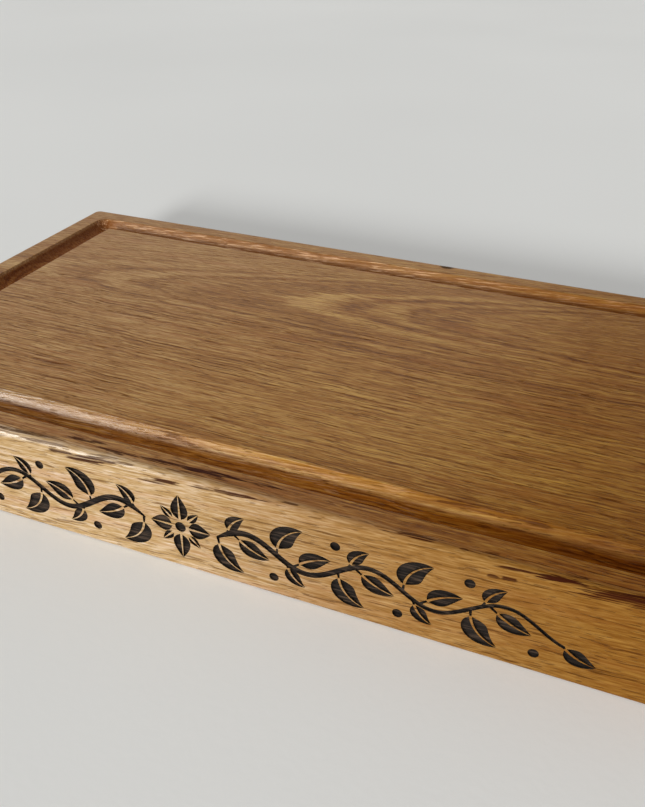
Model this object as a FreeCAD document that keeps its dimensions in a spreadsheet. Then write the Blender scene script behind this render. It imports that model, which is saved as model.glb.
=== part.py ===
import FreeCAD
import Part
import Sketcher
import math
import os
import re
from FreeCAD import Placement, Rotation, Vector

# Oak cutting board with two drawer trays that slide out of its short ends.
# Frame: millimetres, +X along the length, +Y to the rear, +Z up, origin in the middle of the footprint.

# Driving dimensions
SIZES = {
    # whole board
    "board_length": 500.0,
    "board_depth": 300.0,
    "board_height": 56.0,
    "corner_round": 6.0,
    "top_round": 4.0,
    "foot_round": 1.5,
    # rails along the two long sides, and the work surface between them
    "rail_width": 42.0,
    "panel_thickness": 22.0,
    # juice groove, left by a round-nosed cutter, with both of its edges eased
    "rim_width": 15.0,
    "groove_depth": 7.5,
    "cutter_radius": 9.5,
    "groove_round": 0.8,
    # loose tongues in the glue joints
    "tongue_thickness": 6.0,
    "tongue_width": 20.0,
    "tongue_setback": 45.0,
    "glue_gap": 0.1,
    # base panel, let into rebates in the rails
    "base_thickness": 6.0,
    "base_recess": 2.0,
    "base_gap": 0.5,
    "rebate_width": 10.0,
    # divider between the two bays, and its dowels
    "divider_thickness": 20.0,
    "dowel_diameter": 8.0,
    "dowel_length": 30.0,
    "dowel_end_gap": 0.5,
    # runners that the tray rims slide on
    "runner_width": 8.0,
    "runner_height": 9.0,
    "runner_lead": 3.0,
    # steel trays
    "sheet": 1.0,
    "tray_lift": 1.5,
    "tray_play": 1.0,
    "tray_back_gap": 2.0,
    "pan_corner": 12.0,
    "pan_foot_round": 5.0,
    "pan_mouth_round": 1.5,
    # oak drawer fronts with a routed finger pull
    "front_thickness": 20.0,
    "front_round": 1.5,
    "reveal": 1.0,
    "stop_gap": 0.5,
    "lip_gap": 0.5,
    "pull_length": 90.0,
    "pull_height": 13.0,
    "pull_depth": 12.0,
    "pull_lip": 5.0,
    "pull_undercut": 3.0,
    "pull_round": 1.5,
    # screws
    "screw_diameter": 3.5,
    "screw_head": 7.0,
    "screw_tip": 4.0,
    "screw_clearance": 0.1,
    "drive_width": 3.6,
    "drive_slot": 0.9,
    "drive_depth": 1.4,
    "button_height": 2.4,
    "runner_screw_length": 22.0,
    "base_screw_length": 20.0,
    "tray_screw_length": 14.0,
    "tray_screw_inset": 8.0,
    # how far a cutting shape runs past the face that it opens
    "overrun": 5.0,
}

# Places along a piece, as shares of its length, width or height
RUNNER_SCREW_SHARES = (0.12, 0.5, 0.88)
BASE_SCREW_SHARES = (-0.42, -0.15, 0.15, 0.42)
DIVIDER_SCREW_SHARES = (-0.4, 0.4)
DOWEL_SHARES = (0.27, 0.73)

# Sizes and places that follow from the driving dimensions
FORMULAS = {
    "half_length": "board_length / 2",
    "half_depth": "board_depth / 2",
    "bay_half": "half_depth - rail_width",
    "panel_underside": "board_height - panel_thickness",
    "base_top": "base_recess + base_thickness",
    "base_length": "board_length - 2 * (front_thickness + stop_gap)",
    "base_half_width": "bay_half + rebate_width - base_gap",
    "rebate_middle": "bay_half + rebate_width / 2",
    "divider_half": "divider_thickness / 2",
    "divider_height": "panel_underside - base_top",
    # groove: height of the cutter's centre over the top, level distance from it to each edge
    "nose_rise": "cutter_radius - groove_depth",
    "groove_reach": "sqrt((cutter_radius + groove_round)^2 - (nose_rise + groove_round)^2)",
    "groove_middle": "rim_width + groove_reach",
    # tongue, midway between the underside of the panel and the groove
    "tongue_low": "panel_underside + (panel_thickness - groove_depth - tongue_thickness) / 2",
    "tongue_length": "board_length - 2 * tongue_setback",
    # right-hand drawer, from its front to its back
    "front_back": "half_length - front_thickness",
    "front_half_width": "bay_half - reveal",
    "front_top": "panel_underside - reveal",
    "front_middle": "(reveal + front_top) / 2",
    "runner_top": "front_top - sheet",
    "runner_low": "runner_top - runner_height",
    "runner_middle": "runner_top - runner_height / 2",
    "runner_length": "front_back - stop_gap - divider_half",
    "runner_face": "bay_half - runner_width",
    "pan_half_width": "runner_face - tray_play",
    "pan_low": "base_top + tray_lift",
    "pan_height": "runner_top - pan_low",
    "rim_lip": "front_half_width - pan_half_width",
    "lip_back": "divider_half + tray_back_gap",
    "lip_front": "front_back + rim_lip",
    "pan_back": "lip_back + rim_lip",
    # tray screws, in the flat of the front wall between its round corners, foot and mouth
    "tray_screw_spread": "pan_half_width - pan_corner - tray_screw_inset",
    "tray_screw_height": "(pan_low + pan_foot_round + front_top - pan_mouth_round) / 2",
    # a countersunk head is a cone of 90 degrees
    "head_height": "(screw_head - screw_diameter) / 2",
    "hole_radius": "screw_diameter / 2 + screw_clearance",
}

WORD = re.compile(r"[a-z][a-z_]*")
ORIGIN_POINT = (-1, 1)
QUARTER_TURN = math.pi / 2
# two numbers closer than this count as the same
MATCH = 1e-6
ALONG_X = Vector(1, 0, 0)
ALONG_Y = Vector(0, 1, 0)
ALONG_Z = Vector(0, 0, 1)

doc = FreeCAD.newDocument("cutting_board")
sheet = doc.addObject("Spreadsheet::Sheet", "sizes")


def fill_sheet():
    for row, (alias, value) in enumerate(SIZES.items(), start=1):
        sheet.set(f"A{row}", alias)
        sheet.set(f"B{row}", str(value))
        sheet.setAlias(f"B{row}", alias)
    doc.recompute()


def spelled(text):
    """A formula with its named sizes turned into cells of the sheet."""

    def cell(match):
        word = match.group()
        if word in FORMULAS:
            return "(" + spelled(FORMULAS[word]) + ")"
        return "sizes." + word if word in SIZES else word

    return WORD.sub(cell, text)


def number(text):
    return float(sheet.evalExpression(spelled(text)))


def bind(thing, **formulas):
    """Ties properties to formulas; a double underscore in a name stands for a dot."""
    for name, text in formulas.items():
        thing.setExpression(name.replace("__", "."), spelled(text))


def place(thing, spot, rotation=Rotation()):
    thing.Placement = Placement(Vector(), rotation)
    x, y, z = spot
    bind(thing, Placement__Base__x=x, Placement__Base__y=y, Placement__Base__z=z)
    return thing


# Shapes, booleans and copies


def block(name, size, corner):
    box = doc.addObject("Part::Box", name)
    length, width, height = size
    bind(box, Length=length, Width=width, Height=height)
    return place(box, corner)


def rod(name, diameter, length, spot, direction):
    cylinder = doc.addObject("Part::Cylinder", name)
    bind(cylinder, Radius=f"({diameter}) / 2", Height=length)
    return place(cylinder, spot, Rotation(ALONG_Z, direction))


def carve(name, base, *tools):
    """Takes the tools from the base one after another; the last result carries the name."""
    for count, tool in enumerate(tools, start=1):
        result = doc.addObject("Part::Cut", name if count == len(tools) else f"{name}_cut_{count}")
        result.Base = base
        result.Tool = tool
        base = result
    return base


def overlap(name, first, second):
    result = doc.addObject("Part::Common", name)
    result.Base = first
    result.Tool = second
    return result


def group(name, things):
    result = doc.addObject("Part::Compound", name)
    result.Links = things
    return result


def mirrored(name, source, normal):
    result = doc.addObject("Part::Mirroring", name)
    result.Source = source
    result.Normal = normal
    return result


def copies(name, master, spots, direction):
    """Copies of a master that points down, each turned to the direction at its own spot."""
    links = []
    for count, spot in enumerate(spots, start=1):
        link = doc.addObject("App::Link", f"{name}_{count}")
        link.setLink(master)
        links.append(place(link, spot, Rotation(-ALONG_Z, direction)))
    return group(name, links)


# Sketches and features of a body


def new_sketch(body, name, role, offset="0"):
    """A sketch on one of the body's own planes, moved along that plane's normal."""
    sketch = body.newObject("Sketcher::SketchObject", name)
    plane = next(item for item in body.Origin.OriginFeatures if item.Role == role)
    sketch.AttachmentSupport = (plane, [""])
    sketch.MapMode = "FlatFace"
    bind(sketch, AttachmentOffset__Base__z=offset)
    return sketch


def hold(sketch, kind, points, formula):
    """A dimension of the sketch, tied to a formula."""
    index = sketch.addConstraint(Sketcher.Constraint(kind, *points, number(formula)))
    sketch.setExpression(f"Constraints[{index}]", spelled(formula))


def pin(sketch, edge, end, spot):
    """Holds one end of an edge at a spot measured from the sketch's origin."""
    for axis, level, formula in zip(("DistanceX", "DistanceY"), ("Vertical", "Horizontal"), spot):
        if formula == "0":
            sketch.addConstraint(Sketcher.Constraint(level, *ORIGIN_POINT, edge, end))
        else:
            hold(sketch, axis, (*ORIGIN_POINT, edge, end), formula)


def polygon(body, name, role, offset, corners):
    """A closed outline of straight edges, with every corner tied to its two formulas."""
    sketch = new_sketch(body, name, role, offset)
    points = [Vector(number(across), number(up), 0) for across, up in corners]
    for start, end in zip(points, points[1:] + points[:1]):
        sketch.addGeometry(Part.LineSegment(start, end), False)
    for edge, spot in enumerate(corners):
        last_edge = (edge - 1) % len(corners)
        sketch.addConstraint(Sketcher.Constraint("Coincident", last_edge, 2, edge, 1))
        pin(sketch, edge, 1, spot)
    return sketch


def rectangle(body, name, role, offset, across, up):
    left, right = across
    low, high = up
    return polygon(body, name, role, offset, [(left, low), (right, low), (right, high), (left, high)])


def arc(centre, radius, start, end):
    return Part.ArcOfCircle(Part.Circle(centre, ALONG_Z, radius), start, end)


def slot(body, name, offset, length, height, level):
    """A level slot with round ends in a plane across the length, its middle at the given level."""
    sketch = new_sketch(body, name, "YZ_Plane", offset)
    reach = f"(({length}) - ({height})) / 2"
    radius = number(height) / 2
    right = Vector(number(reach), number(level), 0)
    left = Vector(-right.x, right.y, 0)
    drop = Vector(0, radius, 0)
    sketch.addGeometry(Part.LineSegment(left - drop, right - drop), False)
    sketch.addGeometry(arc(right, radius, -QUARTER_TURN, QUARTER_TURN), False)
    sketch.addGeometry(Part.LineSegment(right + drop, left + drop), False)
    sketch.addGeometry(arc(left, radius, QUARTER_TURN, 3 * QUARTER_TURN), False)
    for edge in range(4):
        sketch.addConstraint(Sketcher.Constraint("Tangent", edge, 2, (edge + 1) % 4, 1))
    sketch.addConstraint(Sketcher.Constraint("Horizontal", 0))
    hold(sketch, "Radius", (1,), f"({height}) / 2")
    pin(sketch, 1, 3, (reach, level))
    hold(sketch, "DistanceX", (3, 3, *ORIGIN_POINT), reach)
    return sketch


def extrude(body, kind, name, sketch, length, backwards=False):
    """A Pad or a Pocket of the sketch, checked to add or to take away material."""
    before = body.Tip.Shape.Volume if body.Tip else 0
    feature = body.newObject(f"PartDesign::{kind}", name)
    feature.Profile = sketch
    feature.Reversed = backwards
    bind(feature, Length=length)
    doc.recompute()
    if (feature.Shape.Volume > before) != (kind == "Pad"):
        raise RuntimeError(f"{name} points the wrong way")


def ease(body, kind, name, size, chosen):
    """A Fillet or a Chamfer of the chosen edges of the body's last feature."""
    base = body.Tip
    edges = [f"Edge{index}" for index, edge in enumerate(base.Shape.Edges, start=1) if chosen(edge)]
    feature = body.newObject(f"PartDesign::{kind}", name)
    feature.Base = (base, edges)
    bind(feature, **{"Radius" if kind == "Fillet" else "Size": size})
    doc.recompute()


def same(value, formula):
    return math.isclose(value, number(formula), rel_tol=MATCH, abs_tol=MATCH)


def upright_from(low):
    """Chooses the upright edges that start at a height."""
    return lambda edge: same(edge.BoundBox.ZMin, low) and not same(edge.BoundBox.ZLength, "0")


def level_at(height):
    """Chooses the edges that lie at a height."""
    return lambda edge: same(edge.BoundBox.ZMin, height) and same(edge.BoundBox.ZMax, height)


def flat_at(x):
    """Chooses the edges that lie in a plane across the length."""
    return lambda edge: same(edge.BoundBox.XMin, x) and same(edge.BoundBox.XMax, x)


def within(x_low, x_high, y_half):
    """Chooses the edges inside a rectangle, seen from above."""
    left, right, reach = number(x_low), number(x_high), number(y_half)

    def chosen(edge):
        box = edge.BoundBox
        return left < box.XMin and box.XMax < right and -reach < box.YMin and box.YMax < reach

    return chosen


def both(first, second):
    return lambda edge: first(edge) and second(edge)


# Block of the board with its rounded edges and juice groove


def groove_section(body):
    """Section of the groove on the left-hand run, drawn in the plane through the middle of the board."""
    sketch = new_sketch(body, "groove_section", "XZ_Plane")
    top = Vector(number("groove_middle - half_length"), number("board_height"), 0)
    reach = Vector(number("groove_reach"), 0, 0)
    above = Vector(0, number("overrun"), 0)
    eased = number("groove_round")
    nose = top + Vector(0, number("nose_rise"), 0)
    rim = top - reach
    lip = top + reach
    below = Vector(0, eased, 0)
    rim_angle = math.atan2(nose.y - rim.y + eased, nose.x - rim.x)
    lip_angle = math.pi - rim_angle
    edges = [
        Part.LineSegment(rim + above, lip + above),
        Part.LineSegment(lip + above, lip),
        arc(lip - below, eased, QUARTER_TURN, lip_angle),
        arc(nose, number("cutter_radius"), rim_angle + math.pi, lip_angle + math.pi),
        arc(rim - below, eased, rim_angle, QUARTER_TURN),
        Part.LineSegment(rim, rim + above),
    ]
    for edge in edges:
        sketch.addGeometry(edge, False)
    for first, first_end, second, second_end in ((0, 2, 1, 1), (1, 2, 2, 1), (4, 2, 5, 1), (5, 2, 0, 1)):
        sketch.addConstraint(Sketcher.Constraint("Coincident", first, first_end, second, second_end))
    for first, first_end, second, second_end in ((2, 2, 3, 2), (3, 1, 4, 1)):
        sketch.addConstraint(Sketcher.Constraint("Tangent", first, first_end, second, second_end))
    for edge, direction in ((0, "Horizontal"), (1, "Vertical"), (5, "Vertical")):
        sketch.addConstraint(Sketcher.Constraint(direction, edge))
    # each eased edge meets the top face level, so its centre is straight below its upper end
    sketch.addConstraint(Sketcher.Constraint("Vertical", 2, 3, 2, 1))
    sketch.addConstraint(Sketcher.Constraint("Vertical", 4, 3, 4, 2))
    sketch.addConstraint(Sketcher.Constraint("Horizontal", 1, 2, 5, 1))
    for edge, radius in ((2, "groove_round"), (3, "cutter_radius"), (4, "groove_round")):
        hold(sketch, "Radius", (edge,), radius)
    hold(sketch, "DistanceY", (1, 2, 3, 3), "nose_rise")
    hold(sketch, "DistanceY", (5, 1, 5, 2), "overrun")
    pin(sketch, 5, 1, ("rim_width - half_length", "board_height"))
    return sketch


def routed_block():
    """The whole block of oak: rounded outside, with the groove run round the top as a cutter runs it."""
    body = doc.addObject("PartDesign::Body", "routed_block")
    across = ("-half_length", "half_length")
    up = ("-half_depth", "half_depth")
    outline = rectangle(body, "block_outline", "XY_Plane", "0", across, up)
    extrude(body, "Pad", "block_height", outline, "board_height")
    ease(body, "Fillet", "block_corners", "corner_round", upright_from("0"))
    ease(body, "Fillet", "block_top_round", "top_round", level_at("board_height"))
    ease(body, "Fillet", "block_foot_round", "foot_round", level_at("0"))
    across = ("groove_middle - half_length", "half_length - groove_middle")
    up = ("groove_middle - half_depth", "half_depth - groove_middle")
    path = rectangle(body, "groove_path", "XY_Plane", "board_height", across, up)
    section = groove_section(body)
    before = body.Tip.Shape.Volume
    groove = body.newObject("PartDesign::SubtractivePipe", "groove")
    groove.Profile = section
    groove.Spine = (path, [f"Edge{edge}" for edge in range(1, 5)])
    groove.Transition = "Round corner"
    doc.recompute()
    if groove.Shape.Volume >= before:
        raise RuntimeError("the groove cuts nothing")
    return body


# Screws and dowels, with the holes that they go into


def drive_cross(body, level):
    """Cross-shaped socket in a screw head."""
    wide = "drive_width / 2"
    thin = "drive_slot / 2"
    half_cross = [(wide, f"-{thin}"), (wide, thin), (thin, thin)]
    half_cross += [(thin, wide), (f"-{thin}", wide), (f"-{thin}", thin)]
    corners = half_cross + [(f"-({across})", f"-({up})") for across, up in half_cross]
    sketch = polygon(body, f"{body.Name}_cross", "XY_Plane", level, corners)
    extrude(body, "Pocket", f"{body.Name}_socket", sketch, "drive_depth")


def turned(name, corners):
    """A body of revolution about the upright axis; the corners are radius and height."""
    body = doc.addObject("PartDesign::Body", name)
    sketch = polygon(body, f"{name}_profile", "XZ_Plane", "0", corners)
    feature = body.newObject("PartDesign::Revolution", f"{name}_turning")
    feature.Profile = sketch
    feature.ReferenceAxis = (sketch, ["V_Axis"])
    doc.recompute()
    return body


def wood_screw(name, length):
    """Countersunk screw, head up, with the top of its head at the origin."""
    shank = "screw_diameter / 2"
    corners = [("0", "0"), ("screw_head / 2", "0"), (shank, "-head_height")]
    corners += [(shank, f"screw_tip - {length}"), ("0", f"-{length}")]
    screw = turned(name, corners)
    drive_cross(screw, "0")
    hole_head = "screw_head / 2 + screw_clearance"
    hole_low = f"-{length} - screw_clearance"
    corners = [("0", "overrun"), (hole_head, "overrun"), (hole_head, "0"), ("hole_radius", "-head_height")]
    corners += [("hole_radius", hole_low), ("0", hole_low)]
    return screw, turned(f"{name}_hole", corners)


def button_screw(name, length):
    """Screw with a button head that stands on the surface at the origin."""
    shank = "screw_diameter / 2"
    head = "screw_head / 2"
    shoulder = "button_height / 2"
    corners = [("0", "button_height"), (f"{head} - {shoulder}", "button_height"), (head, shoulder)]
    corners += [(head, "0"), (shank, "0"), (shank, f"screw_tip - {length}"), ("0", f"-{length}")]
    screw = turned(name, corners)
    drive_cross(screw, "button_height")
    hole_low = f"-{length} - screw_clearance"
    corners = [("0", "overrun"), ("hole_radius", "overrun"), ("hole_radius", hole_low), ("0", hole_low)]
    return screw, turned(f"{name}_hole", corners)


def runner_spots(side_y):
    return [
        (f"{side_x}(divider_half + {share} * runner_length)", f"{side_y}runner_face", "runner_middle")
        for side_x in ("-", "+")
        for share in RUNNER_SCREW_SHARES
    ]


def base_spots():
    """A row of screws into each rail, and a few into the divider."""
    rows = []
    for side in ("-", "+"):
        rows += [(f"{share} * base_length", f"{side}rebate_middle") for share in BASE_SCREW_SHARES]
    rows += [("0", f"{share} * bay_half") for share in DIVIDER_SCREW_SHARES]
    return [(x, y, "base_recess") for x, y in rows]


def dowel_set(name, diameter, length):
    """Two dowels one above the other in each end of the divider."""
    rods = []
    for side in ("-", "+"):
        for share in DOWEL_SHARES:
            spot = ("0", f"{side}bay_half - ({length}) / 2", f"base_top + {share} * divider_height")
            rods.append(rod(f"{name}_{len(rods) + 1}", diameter, length, spot, ALONG_Y))
    return group(name, rods)


# Fixed pieces of the board


def tongue(name, side, gap):
    """Loose tongue in the joint between a rail and the panel, or with a gap the slot for it."""
    size = (f"tongue_length + 2 * {gap}", f"tongue_width + 2 * {gap}", f"tongue_thickness + 2 * {gap}")
    low_side = f"{side}bay_half - tongue_width / 2 - {gap}"
    return block(name, size, (f"-tongue_length / 2 - {gap}", low_side, f"tongue_low - {gap}"))


def front_rail(routed, slot_cut, *holes):
    """Full-height rail with the front of the rim and groove, and a stopped rebate for the base."""
    size = ("board_length + 2 * overrun", "rail_width + overrun", "board_height + 2 * overrun")
    strip = block("front_strip", size, ("-half_length - overrun", "-half_depth - overrun", "-overrun"))
    blank = overlap("front_rail_blank", routed, strip)
    size = ("base_length + 2 * base_gap", "rebate_width + overrun", "base_top + overrun")
    corner = ("-base_length / 2 - base_gap", "-bay_half - rebate_width", "-overrun")
    rebate = block("front_rebate", size, corner)
    return carve("front_rail", blank, rebate, slot_cut, *holes)


def top_panel(routed, *slot_cuts):
    """Work surface between the rails, with the groove's end runs."""
    size = ("board_length + 2 * overrun", "2 * bay_half", "panel_thickness + overrun")
    slab = block("panel_slab", size, ("-half_length - overrun", "-bay_half", "panel_underside"))
    return carve("top_panel", overlap("top_panel_blank", routed, slab), *slot_cuts)


def base_panel(holes):
    size = ("base_length", "2 * base_half_width", "base_thickness")
    panel = block("base_sheet", size, ("-base_length / 2", "-base_half_width", "base_recess"))
    return carve("base_panel", panel, holes)


def centre_divider(*holes):
    size = ("divider_thickness", "2 * bay_half", "divider_height")
    bar = block("divider_bar", size, ("-divider_half", "-bay_half", "base_top"))
    return carve("centre_divider", bar, *holes)


def right_front_runner(holes):
    """Strip on the rail's inner face, with its outer end eased so that the tray's rim finds it."""
    body = doc.addObject("PartDesign::Body", "runner_strip")
    across = ("-bay_half", "-runner_face")
    up = ("runner_low", "runner_top")
    section = rectangle(body, "runner_section", "YZ_Plane", "divider_half", across, up)
    extrude(body, "Pad", "runner_bar", section, "runner_length")
    outer_edge = both(flat_at("divider_half + runner_length"), level_at("runner_top"))
    ease(body, "Chamfer", "runner_lead_in", "runner_lead", outer_edge)
    return carve("right_front_runner", body, holes)


# Sliding pieces of the right-hand drawer


def right_tray(holes):
    """Pressed steel pan with round corners and a rim all round, which rides on the runners."""
    body = doc.addObject("PartDesign::Body", "tray_pan")
    across = ("lip_back", "lip_front")
    up = ("-front_half_width", "front_half_width")
    rim = rectangle(body, "rim_outline", "XY_Plane", "runner_top", across, up)
    extrude(body, "Pad", "rim_plate", rim, "sheet")
    ease(body, "Fillet", "rim_corners", "pan_corner + rim_lip", upright_from("runner_top"))
    across = ("pan_back", "front_back")
    up = ("-pan_half_width", "pan_half_width")
    pan = rectangle(body, "pan_outline", "XY_Plane", "runner_top", across, up)
    extrude(body, "Pad", "pan_outside", pan, "pan_height", backwards=True)
    across = ("pan_back + sheet", "front_back - sheet")
    up = ("sheet - pan_half_width", "pan_half_width - sheet")
    inside = rectangle(body, "pan_inside", "XY_Plane", "front_top", across, up)
    extrude(body, "Pocket", "pan_hollow", inside, "pan_height")
    ease(body, "Fillet", "pan_inner_corners", "pan_corner - sheet", upright_from("pan_low + sheet"))
    ease(body, "Fillet", "pan_inner_foot", "pan_foot_round - sheet", level_at("pan_low + sheet"))
    ease(body, "Fillet", "pan_corners", "pan_corner", upright_from("pan_low"))
    ease(body, "Fillet", "pan_foot", "pan_foot_round", level_at("pan_low"))
    mouth = both(level_at("front_top"), within("pan_back", "front_back", "pan_half_width"))
    ease(body, "Fillet", "pan_mouth", "pan_mouth_round", mouth)
    return carve("right_tray", body, holes)


def right_drawer_front(holes):
    """Oak front, flush with the end of the board, with an undercut finger pull and a seat for the rim."""
    body = doc.addObject("PartDesign::Body", "front_board")
    across = ("-front_half_width", "front_half_width")
    up = ("reveal", "front_top")
    outline = rectangle(body, "front_outline", "YZ_Plane", "front_back", across, up)
    extrude(body, "Pad", "front_block", outline, "front_thickness")
    ease(body, "Fillet", "front_arrises", "front_round", flat_at("half_length"))
    across = ("front_back - overrun", "lip_front + lip_gap")
    seat = rectangle(body, "rim_seat", "XY_Plane", "front_top", across, ("-bay_half", "bay_half"))
    extrude(body, "Pocket", "rim_rebate", seat, "sheet")
    mouth = slot(body, "pull_mouth", "half_length", "pull_length", "pull_height", "front_middle")
    extrude(body, "Pocket", "pull_opening", mouth, "pull_depth")
    long = "pull_length + 2 * pull_undercut"
    tall = "pull_height + 2 * pull_undercut"
    hollow = slot(body, "pull_hollow", "half_length - pull_lip", long, tall, "front_middle")
    extrude(body, "Pocket", "pull_cavity", hollow, "pull_depth - pull_lip")
    inner = within("front_back", "half_length + overrun", "pull_length / 2 + pull_undercut")
    ease(body, "Fillet", "pull_edge", "pull_round", both(flat_at("half_length"), inner))
    return carve("right_drawer_front", body, holes)


# Assembly


def build_pieces():
    """Every piece under its own name."""
    routed = routed_block()
    front_slot = tongue("front_slot", "-", "glue_gap")
    rear_slot = tongue("rear_slot", "+", "glue_gap")
    runner_screw, runner_hole = wood_screw("runner_screw", "runner_screw_length")
    base_screw, base_hole = wood_screw("base_screw", "base_screw_length")
    tray_screw, tray_hole = button_screw("tray_screw", "tray_screw_length")
    front_runner_holes = copies("front_runner_holes", runner_hole, runner_spots("-"), -ALONG_Y)
    base_holes = copies("base_holes", base_hole, base_spots(), ALONG_Z)
    tray_spots = [("front_back - sheet", f"{side}tray_screw_spread", "tray_screw_height") for side in "-+"]
    tray_holes = copies("tray_holes", tray_hole, tray_spots, ALONG_X)
    hole_diameter = "dowel_diameter + 2 * glue_gap"
    dowel_holes = dowel_set("dowel_holes", hole_diameter, "dowel_length + 2 * dowel_end_gap")

    rail = front_rail(routed, front_slot, front_runner_holes, base_holes, dowel_holes)
    front_tongue = tongue("front_tongue", "-", "0")
    runner = right_front_runner(front_runner_holes)
    left_runner = mirrored("left_front_runner", runner, ALONG_X)
    front_screws = copies("front_runner_screws", runner_screw, runner_spots("-"), -ALONG_Y)
    rear_screws = copies("rear_runner_screws", runner_screw, runner_spots("+"), ALONG_Y)
    tray = right_tray(tray_holes)
    drawer_front = right_drawer_front(tray_holes)
    tray_screws = copies("right_tray_screws", tray_screw, tray_spots, ALONG_X)
    return [
        top_panel(routed, front_slot, rear_slot),
        rail,
        mirrored("rear_rail", rail, ALONG_Y),
        front_tongue,
        mirrored("rear_tongue", front_tongue, ALONG_Y),
        base_panel(base_holes),
        copies("base_screws", base_screw, base_spots(), ALONG_Z),
        centre_divider(dowel_holes, base_holes),
        dowel_set("divider_dowels", "dowel_diameter", "dowel_length"),
        runner,
        left_runner,
        mirrored("right_rear_runner", runner, ALONG_Y),
        mirrored("left_rear_runner", left_runner, ALONG_Y),
        group("runner_screws", [front_screws, rear_screws]),
        tray,
        mirrored("left_tray", tray, ALONG_X),
        drawer_front,
        mirrored("left_drawer_front", drawer_front, ALONG_X),
        tray_screws,
        mirrored("left_tray_screws", tray_screws, ALONG_X),
    ]


def check(pieces):
    """Stops before anything is written if an object failed or a piece has no sound solid."""
    for thing in doc.Objects:
        if {"Invalid", "Error"} & set(thing.State):
            raise RuntimeError(f"{thing.Name}: {thing.State}")
    for piece in pieces:
        if piece.Shape.isNull() or not piece.Shape.isValid() or not piece.Shape.Solids:
            raise RuntimeError(f"{piece.Label} has no sound shape")


def write(pieces):
    os.makedirs("parts", exist_ok=True)
    for piece in pieces:
        solids = piece.Shape.Solids
        shape = solids[0] if len(solids) == 1 else Part.makeCompound(solids)
        shape.exportStep(f"parts/{piece.Label}.step")
        print(f"{piece.Label}: {len(solids)} solid(s), {shape.Volume:.1f} mm3")


fill_sheet()
all_pieces = build_pieces()
doc.recompute()
check(all_pieces)
write(all_pieces)
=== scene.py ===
import bmesh
import bpy
import math
from mathutils import Euler, Matrix, Vector

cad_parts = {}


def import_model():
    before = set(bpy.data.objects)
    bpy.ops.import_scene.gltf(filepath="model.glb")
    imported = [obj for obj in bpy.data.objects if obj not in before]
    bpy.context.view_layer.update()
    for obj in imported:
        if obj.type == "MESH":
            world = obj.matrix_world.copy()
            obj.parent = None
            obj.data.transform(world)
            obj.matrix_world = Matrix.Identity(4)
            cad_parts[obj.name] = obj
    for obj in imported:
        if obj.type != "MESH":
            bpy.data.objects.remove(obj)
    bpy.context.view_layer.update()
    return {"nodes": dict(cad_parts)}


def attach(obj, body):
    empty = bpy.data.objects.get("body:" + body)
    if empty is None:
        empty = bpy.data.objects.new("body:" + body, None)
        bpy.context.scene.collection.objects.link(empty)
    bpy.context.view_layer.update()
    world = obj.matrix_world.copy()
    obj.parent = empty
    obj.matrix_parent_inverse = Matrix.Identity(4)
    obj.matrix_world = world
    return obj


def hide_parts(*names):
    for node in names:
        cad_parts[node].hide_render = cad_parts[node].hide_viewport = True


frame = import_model()
nodes = frame["nodes"]

MM = 0.001

# Front and top of the board
FACE_Y = -150 * MM
TOP_Z = 56 * MM


def srgb(red, green, blue):
    """A colour as a picture shows it, turned into the shader's linear numbers."""

    def linear(value):
        value /= 255
        return value / 12.92 if value <= 0.04045 else ((value + 0.055) / 1.055) ** 2.4

    return (linear(red), linear(green), linear(blue), 1)


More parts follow.
